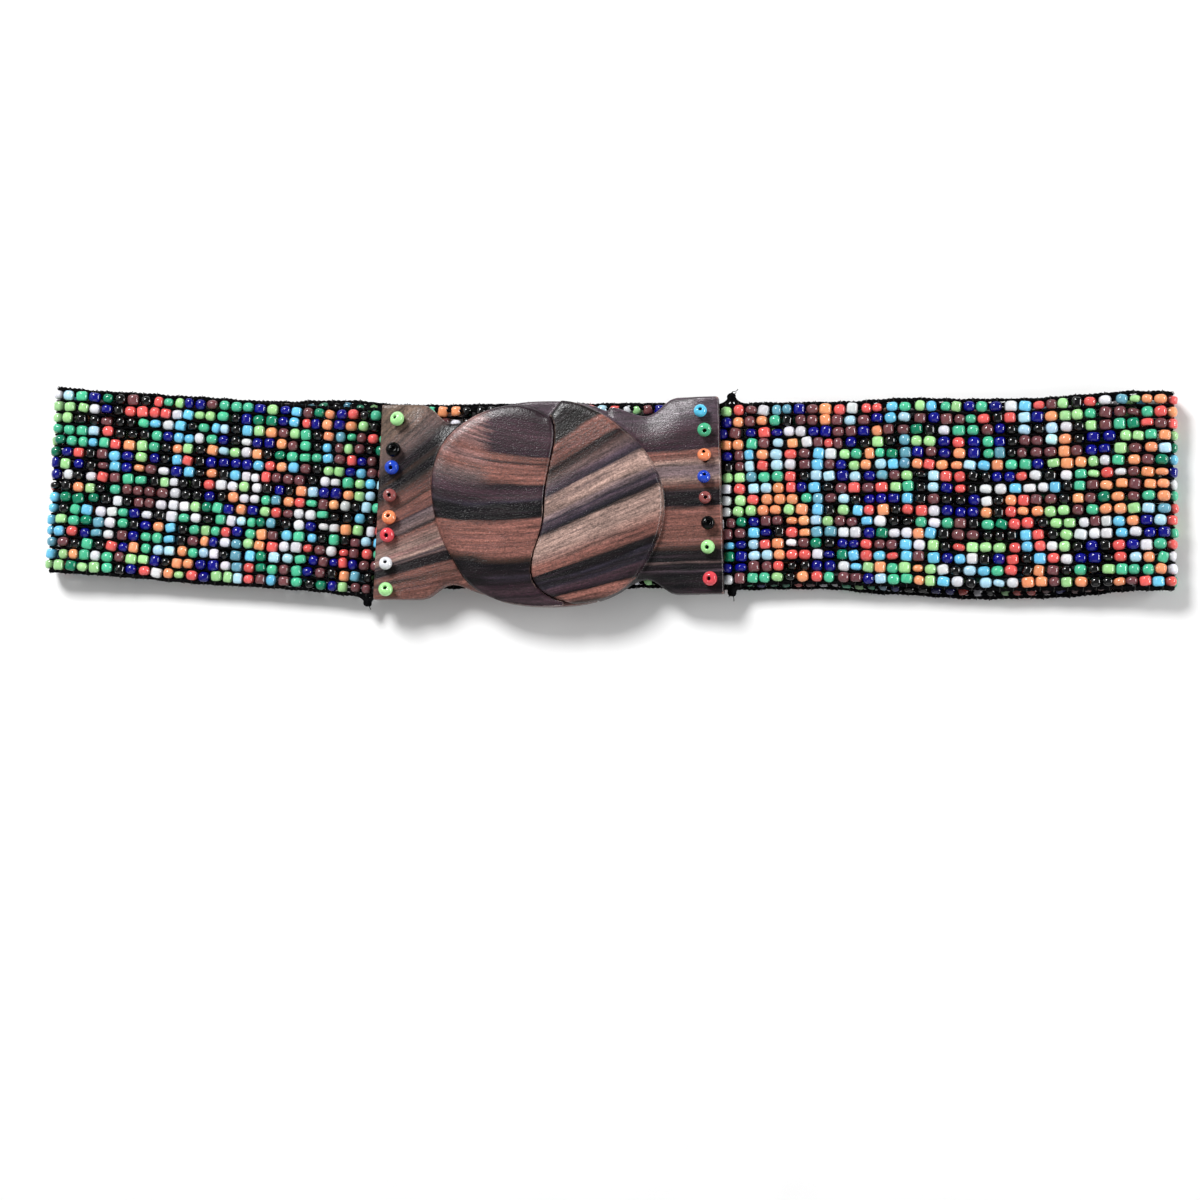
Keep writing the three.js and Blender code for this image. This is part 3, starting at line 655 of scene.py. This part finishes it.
# Each part of the clasp shows its own rings. fan: the point they spread from, from the disc's centre in mm.
# unit: what the rings' places are counted in, per radian round that point. rings: from the lower side up.
# middle: where along x neither sag nor spread bends them. spread: how much, and above which ring.
grains = {
    "left": {
        "face": {
            "fan": (-1500, 0), "unit": 1500, "start": 0, "middle": -18, "sag": 0.004, "spread": (0.011, -5),
            "waver": 2.2, "ragged": 1.7,
            "rings": [(-38, "plum"), (-31.5, "purple"), (-30.5, "plum"), (-28.5, "purple"), (-27, "plum"),
                      (-26, "dark"), (-24, "slate"), (-23, "dark"), (-20.2, "dark"), (-18.6, "umber"),
                      (-17.4, "brown"), (-12.5, "orange"), (-6.3, "orange"), (-5.7, "ink"), (-1.2, "ink"),
                      (-0.4, "dark"), (0.4, "slate"), (1.6, "purple"), (5.2, "plum"), (5.9, "dark"),
                      (6.6, "brown"), (8.5, "orange"), (13.3, "orange"), (14, "ink"), (14.5, "brown"),
                      (16.2, "rust"), (17.2, "plum"), (24, "purple"), (31, "plum"), (38, "dark")],
            "split": (-20, 2.5),
            "west": [(-38, "plum"), (-28, "purple"), (-26, "dark"), (-18.8, "dark"), (-17.4, "umber"),
                     (-16, "brown"), (-11, "orange"), (-6.3, "orange"), (-5.6, "ink"), (-1.5, "dark"),
                     (-0.4, "slate"), (1.2, "plum"), (4.5, "purple"), (8, "grey"), (11, "brown"),
                     (14, "pink"), (16.5, "brown"), (19, "pink"), (27, "pink"), (31, "brown"), (38, "plum")],
        },
        "plate": {
            "fan": (-116.6, -38.8), "unit": 57.3, "start": 0, "middle": -40, "sag": 0, "spread": (0, 0),
            "waver": 1.4, "ragged": 1.5,
            "rings": [(0, "plum"), (5, "rust"), (8.5, "brown"), (11, "rust"), (11.6, "umber"), (12.2, "rust"),
                      (13.6, "brown"), (14.3, "ink"), (16, "ink"), (16.5, "grey"), (16.9, "slate"),
                      (17.4, "tan"), (18.8, "pink"), (19.6, "tan"), (22.6, "brown"), (23.1, "dark"),
                      (23.7, "grey"), (25.9, "taupe"), (26.3, "dark"), (26.8, "orange"), (28.7, "orange"),
                      (29.2, "umber"), (30.3, "brown"), (32.6, "umber"), (33.2, "ink"), (34.6, "dark"),
                      (35.2, "umber"), (36, "ink"), (37.4, "dark"), (39.5, "grey"), (44, "bark"),
                      (60, "bark")],
        },
    },
    "right": {
        "face": {
            "fan": (-82, -49.6), "unit": 57.3, "start": 0, "middle": 2, "sag": 0, "spread": (0.004, 18.4),
            "waver": 1.3, "ragged": 1.5,
            "rings": [(8, "dark"), (10.8, "umber"), (11.4, "orange"), (12.5, "orange"), (12.9, "ink"),
                      (13.6, "plum"), (14.6, "purple"), (15.2, "slate"), (16.2, "dark"), (16.7, "slate"),
                      (17.2, "ink"), (18.2, "ink"), (18.7, "brown"), (20, "orange"), (22.5, "tan"),
                      (25.2, "tan"), (25.8, "dark"), (26.5, "slate"), (27, "haze"), (27.5, "slate"),
                      (28.2, "taupe"), (29, "tan"), (31.3, "tan"), (31.9, "slate"), (32.8, "haze"),
                      (34, "grey"), (35.2, "umber"), (35.9, "dark"), (36.4, "rust"), (38.6, "orange"),
                      (39.2, "olive"), (44, "ink")],
        },
        "plate": {
            "fan": (-900, -45), "unit": 900, "start": 45, "middle": 0, "sag": 0, "spread": (0, 0),
            "waver": 1.8, "ragged": 1.6,
            "rings": [(-38, "plum"), (-30.5, "plum"), (-29, "dark"), (-24, "dark"), (-23.5, "haze"),
                      (-22.9, "dark"), (-21.4, "dark"), (-20.9, "grey"), (-20.3, "dark"), (-17, "ink"),
                      (-16.2, "umber"), (-15, "brown"), (-12.5, "rust"), (-9.5, "brown"), (-8, "orange"),
                      (-4.2, "orange"), (-3.4, "ink"), (0.6, "dark"), (1.6, "umber"), (2.6, "brown"),
                      (4.5, "tan"), (6, "taupe"), (8.4, "taupe"), (9.4, "tan"), (11.5, "orange"),
                      (13.2, "orange"), (13.9, "plum"), (19, "purple"), (24, "haze"), (38, "haze")],
        },
    },
}


def ringRamp(tree, level, rings):
    low, high = rings[0][0], rings[-1][0]
    fac = addNode(tree, "ShaderNodeMapRange", {"Value": level, "From Min": low, "From Max": high}).outputs[0]
    return addRamp(tree, fac, [((at - low) / (high - low), [c * woodTone for c in linear(woods[wood])])
                               for at, wood in rings])


def addNoise(tree, space, scale, detail, roughness):
    stretched = addNode(tree, "ShaderNodeMapping", {"Vector": space, "Scale": scale}).outputs[0]
    noise = addNode(tree, "ShaderNodeTexNoise", {"Vector": stretched, "Scale": 1, "Detail": detail,
                                                 "Roughness": roughness})
    return noise.outputs["Fac"]


def addRange(tree, value, low, high, toLow, toHigh):
    return addNode(tree, "ShaderNodeMapRange", {"Value": value, "From Min": low, "From Max": high,
                                                "To Min": toLow, "To Max": toHigh}).outputs[0]


def mixColour(tree, fac, first, second):
    node = addNode(tree, "ShaderNodeMix", {0: fac, 6: first, 7: second}, data_type="RGBA")
    return node.outputs[2]


def grain(tree, place, region):  # the rings' colour, and the space along and across them
    fan = [clasp["centre"][0] + region["fan"][0], clasp["centre"][1] + region["fan"][1]]
    offset = addNode(tree, "ShaderNodeVectorMath", {0: place, 1: (*fan, 0.0)}, operation="SUBTRACT").outputs[0]
    parts = addNode(tree, "ShaderNodeSeparateXYZ", {0: offset}).outputs
    turn = addMath(tree, "ARCTAN2", parts["Y"], parts["X"])
    level = addMath(tree, "MULTIPLY_ADD", turn, float(region["unit"]), -float(region["start"]))
    along = addNode(tree, "ShaderNodeVectorMath", {0: offset}, operation="LENGTH").outputs["Value"]
    away = addMath(tree, "SUBTRACT", parts["X"], float(region["middle"] - region["fan"][0]))
    spread, root = region["spread"]
    above = addMath(tree, "MAXIMUM", addMath(tree, "SUBTRACT", level, float(root)), 0.0)
    bend = addMath(tree, "SUBTRACT", addMath(tree, "MULTIPLY", above, spread),
                   addMath(tree, "MULTIPLY", away, float(region["sag"])))
    level = addMath(tree, "MULTIPLY_ADD", bend, away, level)
    width = addMath(tree, "MULTIPLY", level, 0.7 if region["unit"] > 60 else 1.0)
    space = addNode(tree, "ShaderNodeCombineXYZ", {"X": along, "Y": width, "Z": parts["Z"]}).outputs[0]
    broad = addNoise(tree, space, (0.035, 0.12, 0.2), 2, 0.5)
    fine = addNoise(tree, space, (0.06, 1.3, 0.6), 4, 0.65)
    level = addMath(tree, "MULTIPLY_ADD", addMath(tree, "SUBTRACT", broad, 0.5), region["waver"], level)
    level = addMath(tree, "MULTIPLY_ADD", addMath(tree, "SUBTRACT", fine, 0.5), region["ragged"], level)
    colour = ringRamp(tree, level, region["rings"])
    if "west" in region:
        at, blur = region["split"]
        edge = addMath(tree, "MULTIPLY_ADD", addMath(tree, "SUBTRACT", fine, 0.5), 14.0, parts["X"])
        start = at - region["fan"][0]
        west = addRange(tree, edge, start - blur, start + blur, 1.0, 0.0)
        colour = mixColour(tree, west, colour, ringRamp(tree, level, region["west"]))
    return colour, space


def woodMaterial(side):
    material, tree, shader = newMaterial("striped hardwood " + side)
    objectPlace = addNode(tree, "ShaderNodeTexCoord").outputs["Object"]
    place = addNode(tree, "ShaderNodeVectorMath", {0: objectPlace, "Scale": 1000.0}, operation="SCALE").outputs[0]
    faceColour, faceSpace = grain(tree, place, grains[side]["face"])
    plateColour, plateSpace = grain(tree, place, grains[side]["plate"])
    height = addNode(tree, "ShaderNodeSeparateXYZ", {0: place}).outputs["Z"]
    raised = addRange(tree, height, clasp["plateTop"] + 0.25, clasp["plateTop"] + 0.45, 0.0, 1.0)
    colour = mixColour(tree, raised, plateColour, faceColour)
    space = addNode(tree, "ShaderNodeMix", {0: raised, 4: plateSpace, 5: faceSpace},
                    data_type="VECTOR").outputs[1]
    tinged = addRange(tree, addNoise(tree, space, (0.05, 0.45, 0.3), 3, 0.6), 0.42, 0.68, 0.0, 0.55)
    colour = mixColour(tree, tinged, colour, mixColour(tree, 0.5, colour, (0.035, 0.018, 0.022, 1)))
    # lighter grey-purple streaks along the grain: part the wood's figure, part painted sheen
    grainAndSheenStreaks = addRange(tree, addNoise(tree, space, (0.03, 1.1, 0.5), 3, 0.6), 0.54, 0.74, 0.0, 0.35)
    haze = [c * woodTone for c in linear(woods["haze"])]
    colour = mixColour(tree, grainAndSheenStreaks, colour, (*haze, 1))
    pores = addRange(tree, addNoise(tree, space, (0.7, 3.4, 2.6), 3, 0.7), 0.34, 0.54, 0.55, 1.06)
    threads = addRange(tree, addNoise(tree, space, (0.05, 1.5, 0.8), 5, 0.75), 0.34, 0.64, 0.28, 1.5)
    speckle = addRange(tree, addNoise(tree, place, (1.7, 1.7, 1.7), 2, 0.6), 0.3, 0.7, 0.66, 1.3)
    tone = addMath(tree, "MULTIPLY", addMath(tree, "MULTIPLY", pores, threads), speckle)
    shaded = addNode(tree, "ShaderNodeHueSaturation", {"Value": tone, "Color": colour}).outputs[0]
    # edges mixed towards tan: real wear and a painted highlight where they catch the light
    wearAndHighlight = addNode(tree, "ShaderNodeAttribute", attribute_name="wearAndHighlight").outputs["Fac"]
    wornAndLit = mixColour(tree, addMath(tree, "MULTIPLY", wearAndHighlight, 0.55), shaded, (*linear(woods["tan"]), 1))
    tree.links.new(wornAndLit, shader.inputs["Base Color"])
    tree.links.new(addRange(tree, tone, 0.4, 1.2, 0.36, 0.22), shader.inputs["Roughness"])
    shader.inputs["Specular IOR Level"].default_value = 0.34
    addBump(tree, shader, addNoise(tree, space, (1.6, 3.2, 2.6), 2, 0.6), 0.7, 0.00015)
    return material


for side in ("left", "right"):
    half = carveHalf(side, woodMaterial(side))
    print(half.name, len(half.data.polygons), "faces")


# ---- stopper beads, each on its own cord end

stopperGlass = {"bead_lime": "A8E698", "bead_black": "020203", "bead_blue": "1C44BC", "bead_brown": "8C4A48",
                "bead_orange": "F08A5C", "bead_red": "DC4650", "bead_white": "DEE0E4", "bead_sky": "56BEE2",
                "bead_green": "48B082"}
stopperSizes = {"left": (1.02, 1.06, 1.0, 0.95, 1.0, 1.03, 0.93, 1.0),
                "right": (1.0, 0.97, 0.96, 0.86, 0.91, 0.94, 0.97, 0.91)}
stopperCoords, stopperFaces = modelBead(stopper)
glasses = {slot: glassMaterial("stopper " + slot[5:], linear(code), 0.3 if slot == "bead_black" else 0.9)
           for slot, code in stopperGlass.items()}
cordEnd = fibreMaterial("cord end", (0.0008, 0.0008, 0.001), (0.008, 0.008, 0.01), 0.0)
for name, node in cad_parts.items():
    if name.startswith("stopper_bead"):
        points = np.array([v.co for v in node.data.vertices])
        middle = points.mean(0)
        axis = Vector(np.linalg.svd(points - middle, full_matrices=False)[2][2])
        axis = axis if axis.z > 0 else -axis
        turn = np.array(Vector((0, 0, 1)).rotation_difference(axis).to_matrix())
        slot = node.data.materials[0].name
        size = stopperSizes[name.split("_")[2]][int(name.split("_")[3]) - 1]
        # a bead that leans sits lower, with its foot over the hole that its cord comes out of
        tie = np.array([v.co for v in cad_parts[name.replace("bead", "tie")].data.vertices])
        hole = tie[np.abs(tie[:, 2] - clasp["plateTop"] * mm) < 1 * mm].mean(0)
        foot = middle - np.array(axis) * size * stopper["long"] / 2 * mm
        middle = middle + np.array([*(hole - foot)[:2] * 0.75, -2.4 * mm * (1 - axis.z)])
        piece = makePiece(name.replace("bead", "glass"), stopperCoords * size * mm @ turn.T + middle,
                          stopperFaces, glasses[slot])
        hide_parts(name)
        pieces.append(piece)
    elif name.startswith("stopper_tie"):
        node.modifiers.new("Weld", "WELD").merge_threshold = 1e-6
        rounder = node.modifiers.new("Subdivision", "SUBSURF")
        rounder.levels = rounder.render_levels = 2
        node.material_slots[0].material = cordEnd


# ---- knots that end the border cords: a wrapped lump and a short tail of thread

knotShape = {"across": 2.7, "cord": 0.45, "turns": 2.6, "tailThread": 0.16, "voxel": 0.14}
knotTails = {
    "border_knot_left_lower": [[(0, 0, 0), (0.6, -0.9, 0.2), (0.4, -1.7, 0.0), (0.9, -2.2, -0.4)]],
    "border_knot_right_upper": [[(0, 0, 0), (-0.4, 1.4, 0.4), (0.7, 1.9, 0.7), (1.6, 1.6, 0.6), (2.0, 2.6, 0.2)],
                                [(0, 0, 0), (0.7, 1.0, 0.0), (1.4, 1.5, -0.3)]],
    "border_knot_right_lower": [[(0, 0, 0), (0.2, -1.2, 0.0), (0.5, -2.0, -0.5), (0.3, -2.8, -1.2)],
                                [(0, 0, 0), (-0.8, -1.0, 0.3), (-1.3, -1.5, 0.2)]],
}


def addCurveTube(points, radius):
    curve = bpy.data.curves.new("wrap", "CURVE")
    curve.dimensions = "3D"
    curve.bevel_depth = radius
    curve.bevel_resolution = 2
    curve.use_fill_caps = True
    spline = curve.splines.new("NURBS")
    spline.points.add(len(points) - 1)
    for point, place in zip(spline.points, points):
        point.co = (*place, 1)
    spline.use_endpoint_u = True
    spline.order_u = 4
    obj = bpy.data.objects.new("wrap", curve)
    bpy.context.scene.collection.objects.link(obj)
    return obj


def tieKnot(name, tails):
    low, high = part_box(name)
    middle = (low + high) / 2
    radius = knotShape["across"] / 2 - knotShape["cord"]
    wraps = []
    for lean in (0.3, 1.5):
        turns = np.linspace(0, 2 * math.pi * knotShape["turns"], 26)
        wrap = np.stack([radius * np.cos(turns) * np.cos(lean) + 0.4 * np.sin(turns * 0.5),
                         radius * np.sin(turns), radius * np.cos(turns) * np.sin(lean)
                         + 0.35 * np.cos(turns * 0.7)], -1)
        wraps.append(addCurveTube([Vector(p) * mm + middle for p in wrap], knotShape["cord"] * mm))
    inwards = 1 if name.endswith("lower") else -1
    for sway in (-0.6, -0.35, 0.0, 0.35, 0.6):  # the strands that spread from the lump to the border cord
        strand = [(sway * 0.4, inwards * -0.9, 0), (sway * 1.6, inwards * 0.8, 0.1),
                  (sway * 3.4, inwards * 1.8, 0), (sway * 5.5, inwards * 2.4, 0), (sway * 8, inwards * 2.6, 0)]
        wraps.append(addCurveTube([Vector(p) * mm + middle for p in strand], knotShape["cord"] * mm))
    for tail in tails:
        wraps.append(addCurveTube([Vector(p) * mm + middle for p in tail], knotShape["tailThread"] * mm))
    bpy.ops.object.select_all(action="DESELECT")
    for wrap in wraps:
        wrap.select_set(True)
    bpy.context.view_layer.objects.active = wraps[0]
    bpy.ops.object.convert(target="MESH")
    bpy.ops.object.join()
    knot = bpy.context.object
    knot.name = name.replace("border_knot", "tied_knot")
    applyModifier(knot, "REMESH", mode="VOXEL", voxel_size=knotShape["voxel"] * mm)
    applyModifier(knot, "SMOOTH", factor=0.5, iterations=1)
    knot.data.shade_smooth()
    knot.data.materials.clear()
    knot.data.materials.append(blackCord)
    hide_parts(name)
    pieces.append(knot)


for name, tails in knotTails.items():
    tieKnot(name, tails)
print("stoppers and knots tied")


# ---- floor, light and camera

view = {"aim": (1.205, -34.942, 6.0), "distance": 870.0, "leanX": 8.0, "leanY": 4.0, "focal": 2718.75}

floorMaterial, floorTree, floorShader = newMaterial("pale table")
floorPlace = addNode(floorTree, "ShaderNodeTexCoord").outputs["Object"]
floorNoise = addNode(floorTree, "ShaderNodeTexNoise", {"Vector": floorPlace, "Scale": 40, "Detail": 3}).outputs[0]
floorTone = addRamp(floorTree, floorNoise, [(0.3, (0.9, 0.9, 0.9)), (0.7, (0.93, 0.93, 0.93))])
floorTree.links.new(floorTone, floorShader.inputs["Base Color"])
floorShader.inputs["Roughness"].default_value = 0.9
bpy.ops.object.select_all(action="DESELECT")
bpy.ops.mesh.primitive_plane_add(size=6, location=(0, 0, -0.0002))
floor = bpy.context.object
floor.name = "table"
floor.data.materials.append(floorMaterial)

world = bpy.data.worlds.new("soft studio")
world.use_nodes = True
bpy.context.scene.world = world
world.node_tree.nodes["Background"].inputs["Color"].default_value = (1, 1, 1, 1)
world.node_tree.nodes["Background"].inputs["Strength"].default_value = 0.2


def addLight(name, place, size, energy):
    light = bpy.data.lights.new(name, "AREA")
    light.shape = "ELLIPSE" if name == "lamp" else "RECTANGLE"
    light.size, light.size_y = size
    light.energy = energy
    lamp = bpy.data.objects.new(name, light)
    lamp.location = place
    lamp.rotation_euler = (Vector((0, 0, 0)) - lamp.location).to_track_quat("-Z", "Y").to_euler()
    bpy.context.scene.collection.objects.link(lamp)


addLight("lamp", (-0.5, 0.8, 1.0), (0.46, 0.46), 19)
addLight("side panel", (1.25, 0.1, 0.4), (0.8, 0.22), 11)
addLight("wall", (-0.95, 0.6, 0.8), (1.2, 1.0), 3)
addLight("fill", (0.1, -1.2, 0.95), (2.4, 1.5), 6)

leanX, leanY = math.radians(view["leanX"]), math.radians(view["leanY"])
back = Vector((math.sin(leanX) * math.cos(leanY), -math.sin(leanY), math.cos(leanX) * math.cos(leanY)))
right = Vector((0, 1, 0)).cross(back).normalized()
up = back.cross(right)
camera = bpy.data.objects.new("camera", bpy.data.cameras.new("camera"))
camera.data.sensor_width = 36
camera.data.lens = 36 * view["focal"] / 1200
camera.data.clip_start = 0.05
camera.matrix_world = Matrix.Translation((Vector(view["aim"]) + back * view["distance"]) * mm) @ Matrix(
    (right, up, back)).transposed().to_4x4()
bpy.context.scene.collection.objects.link(camera)
bpy.context.scene.camera = camera
bpy.context.scene.view_settings.view_transform = "Standard"

for piece in pieces:
    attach(piece, "root")
triangles = {piece.name: sum(len(p.vertices) - 2 for p in piece.data.polygons) for piece in pieces}
print("triangles:", triangles, sum(triangles.values()))
